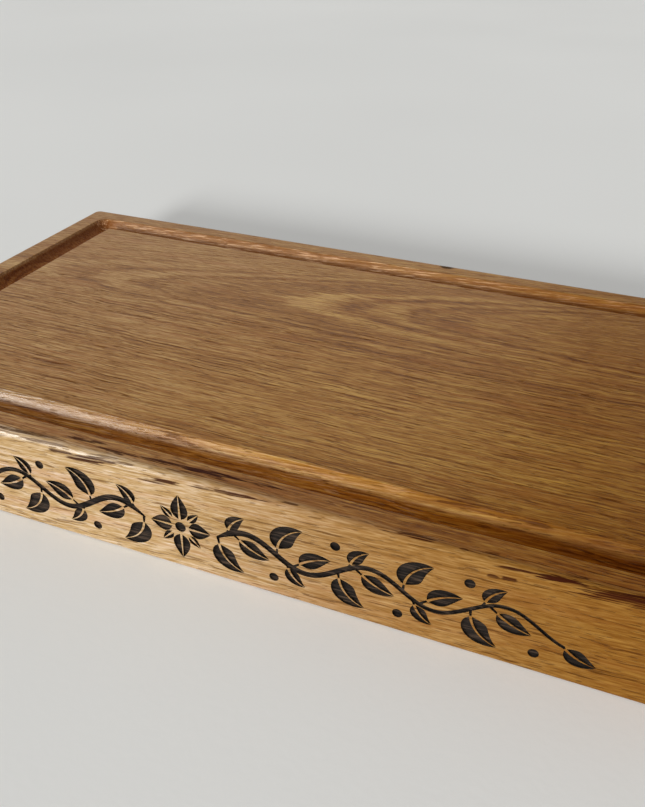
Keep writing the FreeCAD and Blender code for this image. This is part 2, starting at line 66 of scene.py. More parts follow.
class Tree:
    """A node tree, built from short calls that give sockets."""

    def __init__(self, owner):
        owner.use_nodes = True
        self.nodes = owner.node_tree.nodes
        self.links = owner.node_tree.links
        self.nodes.clear()

    def feed(self, socket, value):
        if isinstance(value, bpy.types.NodeSocket):
            self.links.new(value, socket)
        else:
            socket.default_value = value

    def node(self, kind, inputs, **settings):
        made = self.nodes.new("ShaderNode" + kind)
        for key, value in settings.items():
            setattr(made, key, value)
        for key, value in inputs.items():
            self.feed(made.inputs[key], value)
        return made

    def spot(self):
        return self.node("TexCoord", {}).outputs["Object"]

    def placed(self, vector, turn=(0, 0, 0), shift=(0, 0, 0)):
        made = self.node("Mapping", {"Vector": vector, "Rotation": turn, "Location": shift})
        return made.outputs["Vector"]

    def stretched(self, vector, factors):
        return self.node("VectorMath", {0: vector, 1: factors}, operation="MULTIPLY").outputs[0]

    def parts(self, vector):
        return tuple(self.node("SeparateXYZ", {0: vector}).outputs)

    def joined(self, x, y, z):
        return self.node("CombineXYZ", {0: x, 1: y, 2: z}).outputs[0]

    def length(self, vector):
        return self.node("VectorMath", {0: vector}, operation="LENGTH").outputs["Value"]

    def reach(self, vector, middle, half):
        """Distance from the middle of an ellipsoid, as a share of its half sizes."""
        scale = tuple(1 / size for size in half)
        shift = tuple(-place / size for place, size in zip(middle, half))
        inside = self.node("VectorMath", {0: vector, 1: scale, 2: shift}, operation="MULTIPLY_ADD")
        return self.length(inside.outputs[0])

    def noise(self, vector, cells, detail=2, rough=0.5, twist=0):
        """Noise with so many cells to the metre along each axis."""
        inputs = {"Vector": self.stretched(vector, cells), "Scale": 1, "Detail": detail}
        inputs.update({"Roughness": rough, "Distortion": twist})
        return self.node("TexNoise", inputs).outputs["Fac"]

    def sum(self, operation, first, second=0.0):
        return self.node("Math", {0: first, 1: second}, operation=operation).outputs[0]

    def add(self, first, second):
        return self.sum("ADD", first, second)

    def times(self, first, second):
        return self.sum("MULTIPLY", first, second)

    def swing(self, value, amount):
        """A noise value turned into a swing round zero."""
        return self.times(self.add(value, -0.5), amount)

    def most(self, first, second):
        return self.sum("MAXIMUM", first, second)

    def ease(self, value, low, high, start=0.0, end=1.0):
        """A smooth change from start to end while the value goes from low to high."""
        inputs = {"Value": value, "From Min": low, "From Max": high, "To Min": start, "To Max": end}
        return self.node("MapRange", inputs, interpolation_type="SMOOTHSTEP").outputs[0]

    def near(self, value, centre, inner, outer):
        """One within inner of the centre, falling to zero at outer."""
        away = self.sum("ABSOLUTE", self.add(value, -centre))
        return self.ease(away, inner, outer, 1.0, 0.0)

    def mix(self, share, first, second, blend="MIX"):
        made = self.nodes.new("ShaderNodeMix")
        made.data_type = "RGBA"
        made.blend_type = blend
        self.feed(made.inputs[0], share)
        self.feed(made.inputs[6], first)
        self.feed(made.inputs[7], second)
        return made.outputs[2]

    def tint(self, colour, factor, share=1.0):
        """The colour multiplied by a factor, in part where the share is below one."""
        return self.mix(share, colour, factor, "MULTIPLY")

    def ramp(self, value, stops):
        made = self.node("ValToRGB", {"Fac": value})
        elements = made.color_ramp.elements
        while len(elements) < len(stops):
            elements.new(0.5)
        for element, (place, colour) in zip(elements, stops):
            element.position = place
            element.color = colour
        return made.outputs["Color"]


class Paint(Tree):
    """A material with its own colour, roughness and relief."""

    def __init__(self, name):
        self.material = bpy.data.materials.new(name)
        super().__init__(self.material)

    def surface(self, colour, roughness, height, depth, **fixed):
        bump = self.node("Bump", {"Height": height, "Distance": depth, "Strength": 1.0})
        inputs = {"Base Color": colour, "Roughness": roughness, "Normal": bump.outputs[0]}
        inputs.update({key.replace("_", " "): value for key, value in fixed.items()})
        shader = self.node("BsdfPrincipled", inputs)
        self.node("OutputMaterial", {"Surface": shader.outputs[0]})
        return self.material


# Oak, cut from solid: rings round a pith, with vessels and fibres along it

RING = 2.3 * MM
RING_WANDER = 1.6
BEND_ACROSS = 8 * MM
BEND_UP = 2.4 * MM
RIPPLE_ACROSS = 2.2 * MM
RIPPLE_UP = -1.2 * MM
SKEWED = (-120 * MM, 20 * MM)
FRAY = 4 * MM
OAK_RELIEF = 0.35 * MM
OAK_STOPS = ((0.1, srgb(102, 60, 18)), (0.5, srgb(153, 107, 49)), (0.9, srgb(198, 153, 87)))
OAK_BLUSH = srgb(160, 104, 56)
OAK_PORE = srgb(84, 45, 13)
OAK_END = srgb(84, 48, 18)


class Oak(Paint):
    """Grain coordinates of one log: along the pith, and the ring that a point lies in."""

    def __init__(self, name, turn, pith, axis, skew=0.0):
        super().__init__(name)
        rotation = Euler(turn)
        shift = -(rotation.to_matrix() @ Vector(pith))
        log = self.placed(self.spot(), tuple(rotation), tuple(shift))
        along, across, up = self.parts(log)
        bend = self.noise(log, (2.5, 9, 9), 1)
        bend_too = self.noise(log, (2.2, 7, 8), 1, twist=0.4)
        ripple = self.noise(log, (34, 30, 30), 1)
        across = self.add(across, self.swing(bend, BEND_ACROSS))
        across = self.add(across, self.swing(ripple, RIPPLE_ACROSS))
        up = self.add(up, self.swing(bend_too, BEND_UP))
        up = self.add(up, self.swing(ripple, RIPPLE_UP))
        self.grain = self.joined(along, across, up)
        drift = self.times(along, self.ease(across, *SKEWED, 0.0, -skew))
        across = self.add(across, drift)
        radius = self.sum("SQRT", self.add(self.times(across, across), self.times(up, up)))
        count = self.times(radius, 1 / RING)
        wander = self.node("TexNoise", {"W": count, "Scale": 0.55, "Detail": 1}, noise_dimensions="1D")
        count = self.add(count, self.swing(wander.outputs["Fac"], RING_WANDER))
        phase = self.sum("FRACT", count)
        early = self.times(self.ease(phase, 0.0, 0.1), self.ease(phase, 0.1, 0.5, 1.0, 0.0))
        broken = self.ease(self.noise(self.grain, (14, 90, 90), 2), 0.38, 0.6, 0.35, 1.0)
        slant = self.sum("DIVIDE", self.sum("ABSOLUTE", across), radius)
        self.early = self.times(self.times(early, broken), self.ease(slant, 0.05, 0.4, 0.4, 1.0))
        fray = self.swing(self.noise(self.grain, (15, 330, 330), 4, 0.7), FRAY)
        self.radius = self.add(radius, fray)
        self.flat = self.ease(slant, 0.15, 0.6, 1.0, 0.3)
        frayed = self.sum("FRACT", self.add(count, self.times(fray, 1 / RING)))
        self.arch = self.times(self.swing(frayed, -1.0), self.ease(slant, 0.1, 0.45, 1.0, 0.2))
        normal = self.parts(self.node("NewGeometry", {}).outputs["Normal"])
        self.end_grain = self.sum("ABSOLUTE", normal[axis])

    def vessels(self, cells, loose, dense):
        """Open pores as dashes along the grain, crowded in the early wood of each ring."""
        value = self.noise(self.grain, cells, 1.5)
        level = self.add(loose, self.times(self.early, dense - loose))
        return self.ease(self.sum("SUBTRACT", value, level), 0.0, 0.07)

    def wood(self, calm=1.0, figure=0.0, open_grain=1.0):
        """Colour of the wood: calm quiets its lines, open_grain its pores, and figure shifts its tone."""
        fine = self.vessels((110, 1400, 1400), 0.64, 0.51)
        coarse = self.vessels((45, 900, 900), 0.68, 0.55)
        fibre = self.noise(self.grain, (11, 640, 640), 3, 0.62)
        dash = self.noise(self.grain, (60, 1000, 1000), 2, 0.6)
        speck = self.noise(self.grain, (150, 1600, 1600), 1)
        band = self.noise(self.grain, (3, 80, 80), 2)
        cloud = self.noise(self.grain, (2.2, 10, 10), 2)
        blush = self.noise(self.grain, (7, 190, 190), 2, 0.6)
        lines = self.add(self.swing(fibre, 1.2), self.times(self.early, -0.26))
        tone = self.add(0.56, self.times(lines, calm))
        tone = self.add(tone, self.swing(dash, 0.7))
        tone = self.add(tone, self.swing(speck, 0.5))
        tone = self.add(tone, self.times(self.swing(band, 0.35), calm))
        tone = self.add(tone, self.swing(cloud, 0.3))
        tone = self.add(tone, self.add(self.times(self.arch, 0.16), figure))
        self.tone = tone
        colour = self.ramp(tone, OAK_STOPS)
        colour = self.mix(self.ease(blush, 0.45, 0.75, 0.0, 0.4), colour, OAK_BLUSH)
        pores = self.most(self.times(fine, 0.55), self.times(coarse, 0.65))
        self.pores = self.times(pores, open_grain)
        colour = self.mix(self.pores, colour, OAK_PORE)
        colour = self.mix(self.ease(self.end_grain, 0.2, 0.9, 0.0, 0.5), colour, OAK_END)
        self.relief = self.add(self.times(fibre, 0.5), self.times(self.pores, -0.8))
        return colour


# Broad arches on the rear of the top: radius of the ring, half width at full tone and half width in all,
# in millimetres, and tone
ARCHES = (
    (91.4, 0.1, 0.6, -0.16),
    (92.7, 0.1, 0.7, -0.2),
    (93.8, 0.1, 0.6, 0.09),
    (95.1, 0.2, 0.8, -0.22),
    (96.8, 0.3, 1.2, 0.24),
    (99.6, 1.0, 2.8, -0.13),
    (103.3, 0.1, 0.7, -0.16),
    (104.7, 0.3, 1.2, 0.11),
    (106.4, 0.2, 0.8, -0.15),
    (108.8, 0.5, 1.8, 0.11),
    (111.2, 0.2, 0.9, -0.12),
)
ARCH_GROUND = -0.05


def arched(oak):
    """Tone of the broad arches, fading where the rings meet the surface steeply."""
    tone = 0.0
    for radius, inner, outer, amount in ARCHES:
        band = oak.near(oak.radius, radius * MM, inner * MM, outer * MM)
        tone = oak.add(oak.times(band, amount), tone)
    return oak.times(oak.add(tone, ARCH_GROUND), oak.flat)


# Dark mineral streaks by the front top arris, in millimetres: middle along the board, middle round the arris
# (inward on top above zero, down the face below zero), half length, half thickness, strength
STREAKS = (
    (-92, 4.0, 24, 1.5, 0.8),
    (-76, 0.7, 13, 1.3, 0.65),
    (-66, -3.2, 9, 1.3, 0.9),
    (-58, 9.6, 12, 1.5, 0.9),
    (-52, -4.8, 10, 1.2, 0.9),
    (-51, -3.2, 12, 1.5, 0.95),
    (-44, -1.3, 15, 1.2, 0.85),
    (-42, 1.5, 13, 1.1, 0.6),
    (-36, 7.0, 12, 1.7, 0.95),
    (-30, 0.3, 7, 1.2, 0.7),
    (-14, -6.2, 8, 1.3, 0.9),
    (-12, 8.6, 13, 1.7, 0.95),
    (-6, -4.0, 9, 1.4, 0.95),
    (6, 5.8, 14, 0.9, 0.7),
    (12, -2.0, 8, 1.3, 0.95),
    (14, 9.4, 18, 2.0, 1.0),
    (32, -0.4, 13, 1.2, 0.95),
    (40, 10.3, 8, 0.9, 0.9),
    (58, 3.0, 5, 1.0, 0.8),
    (115, 2.9, 12, 1.7, 0.95),
    (138, 2.7, 2, 0.9, 0.8),
    (150, 5.2, 3, 0.9, 0.7),
    (152, -7.7, 2.5, 1.0, 0.8),
    (159, -6.6, 3, 1.1, 0.9),
    (161, -0.6, 11, 1.2, 0.95),
    (179, 0.2, 12, 2.2, 1.0),
    (186, 4.6, 6, 1.0, 0.8),
    (204, -0.6, 22, 3.2, 1.0),
    (228, -1.0, 28, 4.2, 1.0),
)
STREAK_DRIFT = 0.07
STREAK_FRAY = 2.6
STREAK_EDGE = (0.7, 1.1)
STREAK_COLOUR = srgb(52, 19, 6)
STREAKED_FRONT = (-137 * MM, -133 * MM)


# The board's log: its turn, its pith, the axis that it lies along, and how far its rings run askew
LOG = ((0, 0.058, -0.02), (0, 54.75 * MM, -40 * MM), 0, 0.112)

# Stretches of the board's length, depth and height, over which one look passes into another
FACE = (-148 * MM, -143 * MM)
SMOOTH_REAR = (0.0, 100 * MM)
# The top's lean and warming carry darker, redder wood along with a painted fall-off of window light and sheen
LEAN = (0.0, 290 * MM)
WARMING = (-140 * MM, 80 * MM)
FRONT_RIM = (-137 * MM, -134 * MM)
# Stretches of the front face's painted window light and painted shade
FACE_LIT_SPAN = (-45 * MM, 120 * MM)
FACE_SHADE_SPAN = (95 * MM, 215 * MM)
TONES = (0.25, 0.8)
GROOVE_SPAN = (235.5 * MM, 236 * MM)
GROOVE_REACH = (135.5 * MM, 136 * MM)
GROOVE_UNDERSIDE = (46.5 * MM, 47.5 * MM)
GROOVE_FLOOR = (49.3 * MM, 52 * MM)
LEFT_RUN = (-230 * MM, -214 * MM)
LEFT_SIDES = (53 * MM, 55.6 * MM)
UNDER_TOP = (55.75 * MM, TOP_Z)
LIP_LENGTH = (214 * MM, 218 * MM)
LIP_LEFT = (-150 * MM, 60 * MM)
LIP_RIGHT = (80 * MM, 210 * MM)
LIP_GLINT_FADE = (60 * MM, 170 * MM)
LIP_POLISH = (49.5 * MM, 53 * MM)
ARRIS_DEPTH = (-149.3 * MM, -146 * MM)
ARRIS_HEIGHT = (52 * MM, 54.5 * MM)
ARRIS_LENGTH = (-110 * MM, 30 * MM)

# Middle, and half width at full strength and in all, of two bands along the groove
REAR_COVE = (130.5 * MM, 4.5 * MM, 6.5 * MM)
FRONT_LIP = (-119 * MM, 4 * MM, 7 * MM)

# A dark nick on the rear rim
NICK_MIDDLE = (52 * MM, 147 * MM, TOP_Z)
NICK_HALF = (1 / 180, 1 / 220, 1 / 400)
NICK_FRAY = 0.9
NICK_EDGE = (0.8, 1.1)
NICK_COLOUR = srgb(54, 34, 22)

# Factors for the wood's colour, many of them painted light and painted shade
CLEAR = (1.0, 1.0, 1.0, 1)
# Top: darker, redder wood towards the right-hand end, with a painted fall-off of window light and sheen
TOP_LEFT, TOP_RIGHT = (1.0, 0.94, 0.68, 1), (0.6, 0.46, 0.1, 1)
TOP_WARM = (0.97, 0.92, 0.5, 1)
RIM_SHADE = (0.88, 0.8, 0.66, 1)
# Front face: painted window light at the left, fading to painted shade towards the right-hand end
FACE_LIT_LEFT, FACE_LIT_MIDDLE = (1.2, 1.64, 3.45, 1), (0.72, 0.73, 0.73, 1)
FACE_SHADE_RIGHT = (0.5, 0.42, 0.18, 1)
DARK_HUE, LIGHT_HUE = (1.03, 0.99, 0.55, 1), (0.99, 1.08, 1.5, 1)
# Painted shade on the groove's floor and on the sides of its left-hand run
GROOVE_SHADE, LEFT_GROOVE_SHADE = (1.06, 0.74, 0.26, 1), (0.62, 0.4, 0.14, 1)
# Painted sheen and shade on the groove's front lip: darker in red and bluer at the left and middle, darker at
# the right
LIP_SHEEN_LEFT, LIP_SHEEN_MIDDLE, LIP_SHADE_RIGHT = (0.79, 0.95, 1.6, 1), (1.0, 1.12, 1.85, 1), (0.62, 0.58, 0.8, 1)
# Painted shade on the cove of the groove's rear run
COVE_SHADE = srgb(102, 62, 32)
# Painted glints on the torn grain of the cove and the lip
TORN_GLINT = srgb(210, 168, 128)


class BoardOak(Oak):
    """The board's oak: cathedral figure on the rear of the top, straight grain in front."""

    def __init__(self, name):
        super().__init__(name, *LOG)
        self.x, self.y, self.z = self.parts(self.spot())
        self.face = self.ease(self.y, *FACE, 1.0, 0.0)
        self.lean = self.ease(self.x, *LEAN)

    def figured(self):
        smooth = self.ease(self.y, *SMOOTH_REAR, 1.0, 0.65)
        calm = self.sum("MINIMUM", self.ease(self.face, 0.0, 1.0, 1.0, 0.32), smooth)
        return self.wood(calm, arched(self), smooth)

    def shaded(self, colour):
        """Deeper and redder towards the right-hand end: darker wood, with a painted fall-off of window light and
        sheen on the top; on the front face, painted window light at the left fading to painted shade at the
        right.
        """
        # Top: darker, redder wood to the right, with a painted fall-off of window light and sheen
        shade = self.mix(self.lean, TOP_LEFT, TOP_RIGHT)
        shade = self.tint(shade, self.mix(self.ease(self.x, *WARMING), CLEAR, TOP_WARM))
        shade = self.tint(shade, RIM_SHADE, self.ease(self.y, *FRONT_RIM, 1.0, 0.0))
        # Front face: painted window light at the left, fading to painted shade at the right
        face_lit = self.mix(self.ease(self.x, *FACE_LIT_SPAN), FACE_LIT_LEFT, FACE_LIT_MIDDLE)
        face_light_and_shade = self.mix(self.ease(self.x, *FACE_SHADE_SPAN), face_lit, FACE_SHADE_RIGHT)
        colour = self.tint(colour, self.mix(self.face, shade, face_light_and_shade))
        hue = self.mix(self.ease(self.tone, *TONES), DARK_HUE, LIGHT_HUE)
        return self.tint(colour, hue, self.ease(self.face, 0.0, 1.0, 1.0, 0.5))

    def streaked(self, colour):
        """Frayed dark streaks round the front top arris."""
        round_edge = self.add(self.add(self.y, -FACE_Y), self.add(self.z, -TOP_Z))
        lane = self.sum("SUBTRACT", round_edge, self.times(self.x, STREAK_DRIFT))
        place = self.joined(self.x, lane, 0.0)
        fray = self.swing(self.noise(self.grain, (50, 1000, 1000), 2, 0.65), STREAK_FRAY)
        stain = 0.0
        for middle, level, length, thick, strength in STREAKS:
            spot = (middle * MM, (level - STREAK_DRIFT * middle) * MM, 0)
            reach = self.reach(place, spot, (length * MM, thick * MM, 1))
            stain = self.most(self.ease(self.add(reach, fray), *STREAK_EDGE, strength, 0.0), stain)
        by_front = self.ease(self.y, *STREAKED_FRONT, 1.0, 0.0)
        lines = self.noise(self.grain, (24, 1200, 1200), 2, 0.6)
        lines = self.times(by_front, self.ease(lines, 0.36, 0.5, 0.3, 1.0))
        self.stain = self.times(stain, lines)
        return self.mix(self.stain, colour, STREAK_COLOUR)

    def nicked(self, colour):
        reach = self.reach(self.spot(), NICK_MIDDLE, NICK_HALF)
        fray = self.swing(self.noise(self.grain, (200, 700, 700), 2, 0.6), NICK_FRAY)
        nick = self.ease(self.add(reach, fray), *NICK_EDGE, 0.9, 0.0)
        self.stain = self.most(self.stain, nick)
        return self.mix(nick, colour, NICK_COLOUR)

    def groove_shaded(self, colour):
        """The groove with painted shade: darker on its floor, and up the sides of its left-hand run."""
        inside = self.times(self.near(self.x, 0.0, *GROOVE_SPAN), self.near(self.y, 0.0, *GROOVE_REACH))
        self.inside = self.times(inside, self.ease(self.z, *GROOVE_UNDERSIDE))
        low = self.ease(self.z, *GROOVE_FLOOR, 1.0, 0.0)
        left_low = self.ease(self.x, *LEFT_RUN, 1.0, 0.0)
        left_low = self.times(left_low, self.ease(self.z, *LEFT_SIDES, 1.0, 0.0))
        self.sunk = self.times(self.most(low, left_low), self.inside)
        return self.tint(colour, self.mix(left_low, GROOVE_SHADE, LEFT_GROOVE_SHADE), self.sunk)

    def torn_with_painted_light(self, colour):
        """Torn grain on the cove of the groove's rear run and the lip of its front run, with painted light:
        painted shade on the cove, painted sheen and shade on the lip, and pale flecks painted as glints.
        """
        below = self.times(self.ease(self.z, *UNDER_TOP, 1.0, 0.0), self.inside)
        torn = self.noise(self.grain, (38, 1000, 1000), 3, 0.65)
        cove = self.times(self.near(self.y, *REAR_COVE), below)
        lip = self.times(self.near(self.y, *FRONT_LIP), below)
        self.lip = self.times(lip, self.near(self.x, 0.0, *LIP_LENGTH))
        # Painted sheen on the lip at the left and middle, painted shade at the right
        lip_light = self.mix(self.ease(self.x, *LIP_LEFT), LIP_SHEEN_LEFT, LIP_SHEEN_MIDDLE)
        lip_light = self.mix(self.ease(self.x, *LIP_RIGHT), lip_light, LIP_SHADE_RIGHT)
        colour = self.tint(colour, lip_light, self.lip)
        # Painted shade on the rear cove
        colour = self.mix(self.times(cove, 0.62), colour, COVE_SHADE)
        # Pale flecks on the torn grain are painted glints: on the cove, fading to the right, and on the lip's
        # left
        cove_glints = self.times(cove, self.ease(self.lean, 0.0, 0.4, 1.0, 0.35))
        fibres = self.times(self.lip, self.ease(self.x, *LIP_GLINT_FADE, 0.45, 0.06))
        pale = self.times(self.ease(torn, 0.53, 0.63, 0.0, 0.6), self.add(cove_glints, fibres))
        ragged = self.add(self.times(cove, 1.6), self.times(self.lip, 1.1))
        self.relief = self.add(self.relief, self.times(torn, ragged))
        return self.mix(pale, colour, TORN_GLINT)

    def roughness(self):
        roughness = self.ease(self.most(self.pores, self.stain), 0.0, 1.0, 0.36, 0.7)
        return self.add(roughness, self.times(self.lip, 0.06))

    def shine(self):
        """Oil sheen: less on streaks, pores, dark wood and the right-hand end, more on the lip and the arris."""
        shine = self.ease(self.stain, 0.0, 1.0, 0.5, 0.15)
        shine = self.times(shine, self.ease(self.lean, 0.0, 0.7, 1.0, 0.3))
        shine = self.times(shine, self.ease(self.tone, *TONES, 0.65, 1.3))
        dull = self.most(self.sunk, self.pores)
        shine = self.times(shine, self.ease(dull, 0.0, 1.0, 1.0, 0.3))
        polished = self.times(self.lip, self.ease(self.z, *LIP_POLISH))
        shine = self.add(shine, self.times(polished, self.ease(self.x, *LIP_LEFT, 1.4, 0.15)))
        arris = self.times(self.ease(self.y, *ARRIS_DEPTH, 1.0, 0.0), self.ease(self.z, *ARRIS_HEIGHT))
        return self.add(shine, self.times(arris, self.ease(self.x, *ARRIS_LENGTH, 0.9, 0.0)))


def oak_block():
    oak = BoardOak("oak_oiled")
    colour = oak.shaded(oak.figured())
    colour = oak.nicked(oak.streaked(colour))
    colour = oak.torn_with_painted_light(oak.groove_shaded(colour))
    return oak.surface(colour, oak.roughness(), oak.relief, OAK_RELIEF, Specular_IOR_Level=oak.shine())


def oak_across(name, pith):
    """Oak pieces whose grain runs from front to rear."""
    oak = Oak(name, (0, 0.03, -math.pi / 2), pith, 1)
    colour = oak.wood()
    roughness = oak.ease(oak.pores, 0.0, 1.0, 0.48, 0.75)
    return oak.surface(colour, roughness, oak.relief, OAK_RELIEF, Specular_IOR_Level=0.3)


def charred_oak():
    """Burnt floor of the carving, with the ridges of the grain still standing."""
    oak = Oak("oak_charred", *LOG)
    ridges = oak.noise(oak.grain, (30, 800, 800), 3, 0.65)
    ash = oak.noise(oak.grain, (160, 420, 420), 2)
    stops = [(0.36, srgb(14, 11, 9)), (0.52, srgb(32, 26, 22)), (0.66, srgb(72, 58, 47))]
    colour = oak.ramp(ridges, stops)
    colour = oak.mix(oak.ease(ash, 0.5, 0.75, 0.0, 0.35), colour, srgb(24, 20, 18))
    roughness = oak.ease(ash, 0.3, 0.7, 0.6, 0.85)
    return oak.surface(colour, roughness, ridges, 0.5 * MM, Specular_IOR_Level=0.2)


# Other woods and metals inside

BASE_UNDERSIDE = 2 * MM
PLY = 2.4 * MM


def beech():
    paint = Paint("beech")
    spot = paint.spot()
    grain = paint.placed(spot, (0, 0.02, 0.01))
    fibre = paint.noise(grain, (14, 620, 620), 3, 0.6)
    band = paint.noise(grain, (4, 90, 90), 2)
    fleck = paint.noise(grain, (180, 900, 1600), 1)
    tone = paint.add(0.5, paint.add(paint.swing(fibre, 0.6), paint.swing(band, 0.6)))
    stops = [(0.15, srgb(176, 128, 92)), (0.5, srgb(204, 160, 120)), (0.85, srgb(222, 184, 146))]
    colour = paint.ramp(tone, stops)
    cove_glints = paint.ease(fleck, 0.62, 0.7, 0.0, 0.45)
    colour = paint.mix(cove_glints, colour, srgb(140, 92, 62))
    roughness = paint.ease(fibre, 0.2, 0.8, 0.48, 0.62)
    return paint.surface(colour, roughness, fibre, 0.15 * MM, Specular_IOR_Level=0.35)


def plywood():
    """Oak-veneered faces, with darker plies showing at the edges."""
    paint = Paint("base_ply")
    spot = paint.spot()
    fibre = paint.noise(spot, (10, 380, 380), 3, 0.6)
    band = paint.noise(spot, (2.4, 22, 22), 2, twist=0.6)
    tone = paint.add(0.5, paint.add(paint.swing(fibre, 0.5), paint.swing(band, 0.8)))
    stops = [(0.15, srgb(146, 106, 62)), (0.5, srgb(184, 144, 94)), (0.85, srgb(206, 170, 122))]
    colour = paint.ramp(tone, stops)
    height = paint.parts(spot)[2]
    layer = paint.sum("FRACT", paint.times(paint.add(height, -BASE_UNDERSIDE), 1 / PLY))
    plies = paint.near(layer, 0.5, 0.18, 0.3)
    normal = paint.node("NewGeometry", {}).outputs["Normal"]
    upright = paint.sum("ABSOLUTE", paint.parts(normal)[2])
    at_edge = paint.ease(upright, 0.3, 0.7, 1.0, 0.0)
    colour = paint.mix(paint.times(plies, paint.times(at_edge, 0.7)), colour, srgb(150, 106, 66))
    roughness = paint.ease(fibre, 0.2, 0.8, 0.5, 0.66)
    return paint.surface(colour, roughness, fibre, 0.15 * MM, Specular_IOR_Level=0.35)


def brushed_steel():
    paint = Paint("tray_steel")
    spot = paint.spot()
    lines = paint.noise(spot, (12, 2600, 2600), 2, 0.6)
    broad = paint.noise(spot, (4, 300, 300), 2)
    smear = paint.noise(spot, (9, 9, 9), 2)
    stops = [(0.25, srgb(176, 176, 174)), (0.75, srgb(206, 206, 203))]
    colour = paint.ramp(paint.add(paint.times(lines, 0.6), paint.times(broad, 0.4)), stops)
    roughness = paint.add(paint.ease(lines, 0.25, 0.75, 0.24, 0.4), paint.swing(smear, 0.12))
    return paint.surface(colour, roughness, lines, 0.02 * MM, Metallic=1.0)


def screw_steel():
    paint = Paint("screw_steel")
    spot = paint.spot()
    turned = paint.noise(spot, (900, 900, 900), 2)
    stain = paint.noise(spot, (160, 160, 160), 2)
    colour = paint.ramp(turned, [(0.3, srgb(128, 126, 122)), (0.7, srgb(186, 184, 180))])
    roughness = paint.ease(stain, 0.3, 0.7, 0.25, 0.48)
    return paint.surface(colour, roughness, turned, 0.03 * MM, Metallic=1.0)


# Carved leaf garland in the front face, in millimetres from its middle

BAND_MIDDLE = 26.0
CARVE_DEPTH = 1.3
CUT_OVERRUN = 1.0
WAVE = 62.0
RISE = 7.0
VINE_START = 20.0
VINE_END = 186.0
STEM_STEPS = 84
STEM_HALF = 1.9
STEM_TAPER = 0.55
LEAF_STEPS = 16
LEAF_LEAST = 0.02
RIB_TIP = 0.1
RIB_SWELL = 0.55
STALK_HALF = 0.85
STALK_TAPER = 0.6
STALK_SHORT = 0.4
ROUND_STEPS = 20

# Sprigs of each bay: place along the stem, reach of the stalk, and the leaf's angle, length, width and bend
BAYS = 5
SPRIGS = (
    (0.6, 4.4, 1.45, 19.0, 12.0, -1.25),
    (8.5, 5.2, 0.70, 17.0, 9.5, -0.55),
    (5.5, 3.4, -1.25, 12.5, 7.5, 0.9),
)
LAST_SPRIG = (VINE_END - 0.5, 1.6, -0.75, 15.0, 9.0, 0.7)
BERRY_PLACE, BERRY_HEIGHT, BERRY_RADIUS = 30.0, 14.8, 2.5

# Flower: radius of its eye; start, length and width of the long petals and of the short ones between them
EYE_RADIUS = 3.0
PETAL_START, PETAL_LENGTHS, PETAL_WIDTH = 4.6, (12.0, 15.0), 9.5
SHORT_START, SHORT_LENGTH, SHORT_WIDTH = 6.4, 8.5, 4.6

# Limits for joining the rail's points, and for its sharp edges
WELD = 0.001 * MM
SHARP = math.radians(32)


def vine(place):
    """Height of the stem's middle at a place along the band."""
    return RISE * math.sin(2 * math.pi * (place - VINE_START) / WAVE)


def vine_slope(place):
    return RISE * 2 * math.pi / WAVE * math.cos(2 * math.pi * (place - VINE_START) / WAVE)


def stem_outline():
    """The stem as a ribbon that thins out towards the end."""
    upper = []
    lower = []
    for step in range(STEM_STEPS + 1):
        share = step / STEM_STEPS
        place = VINE_START + (VINE_END - VINE_START) * share
        slope = vine_slope(place)
        size = math.hypot(1, slope)
        half = STEM_HALF * (1 - STEM_TAPER * share) * min(1, 0.3 + share * 14)
        upper.append((place - slope / size * half, vine(place) + half / size))
        lower.append((place + slope / size * half, vine(place) - half / size))
    return lower + upper[::-1]


def leaf_outlines(base, angle, length, width, bend):
    """Two halves of a leaf with its rib left standing between them."""
    halves = []
    for side in (1, -1):
        edge = []
        rib = []
        for step in range(LEAF_STEPS + 1):
            share = step / LEAF_STEPS
            turn = angle + bend * share
            heading = angle + bend * share / 2
            along = length * share
            middle = (base[0] + math.cos(heading) * along, base[1] + math.sin(heading) * along)
            out = (-math.sin(turn) * side, math.cos(turn) * side)
            full = width / 2 * math.sin(math.pi * share**0.7) ** 0.9 if 0 < share < 1 else 0
            gap = RIB_TIP + RIB_SWELL * (1 - share)
            full = max(full, gap + LEAF_LEAST)
            edge.append((middle[0] + out[0] * full, middle[1] + out[1] * full))
            rib.append((middle[0] + out[0] * gap, middle[1] + out[1] * gap))
        halves.append(edge + rib[::-1])
    return halves


def stalk_outline(start, end, half):
    along = (end[0] - start[0], end[1] - start[1])
    size = math.hypot(*along)
    out = (-along[1] / size * half, along[0] / size * half)
    return [
        (start[0] - out[0], start[1] - out[1]),
        (end[0] - out[0] * STALK_TAPER, end[1] - out[1] * STALK_TAPER),
        (end[0] + out[0] * STALK_TAPER, end[1] + out[1] * STALK_TAPER),
        (start[0] + out[0], start[1] + out[1]),
    ]


def sprig(place, reach, angle, length, width, bend):
    """A leaf and the stalk that joins it to the stem."""
    root = (place, vine(place))
    base = (place + math.cos(angle) * reach, vine(place) + math.sin(angle) * reach)
    tip = (base[0] - math.cos(angle) * STALK_SHORT, base[1] - math.sin(angle) * STALK_SHORT)
    return [stalk_outline(root, tip, STALK_HALF), *leaf_outlines(base, angle, length, width, bend)]


def round_outline(centre, radius):
    angles = [2 * math.pi * step / ROUND_STEPS for step in range(ROUND_STEPS)]
    return [(centre[0] + radius * math.cos(turn), centre[1] + radius * math.sin(turn)) for turn in angles]


def half_garland():
    """Outlines of the garland's right half."""
    outlines = [stem_outline()]
    for bay in range(BAYS):
        place = VINE_START + WAVE / 2 * bay
        side = -1 if bay % 2 == 0 else 1
        for start, reach, angle, length, width, bend in SPRIGS:
            outlines += sprig(place + start, reach, side * angle, length, width, side * bend)
        outlines.append(round_outline((place + BERRY_PLACE, side * BERRY_HEIGHT), BERRY_RADIUS))
    outlines += sprig(*LAST_SPRIG)
    return outlines


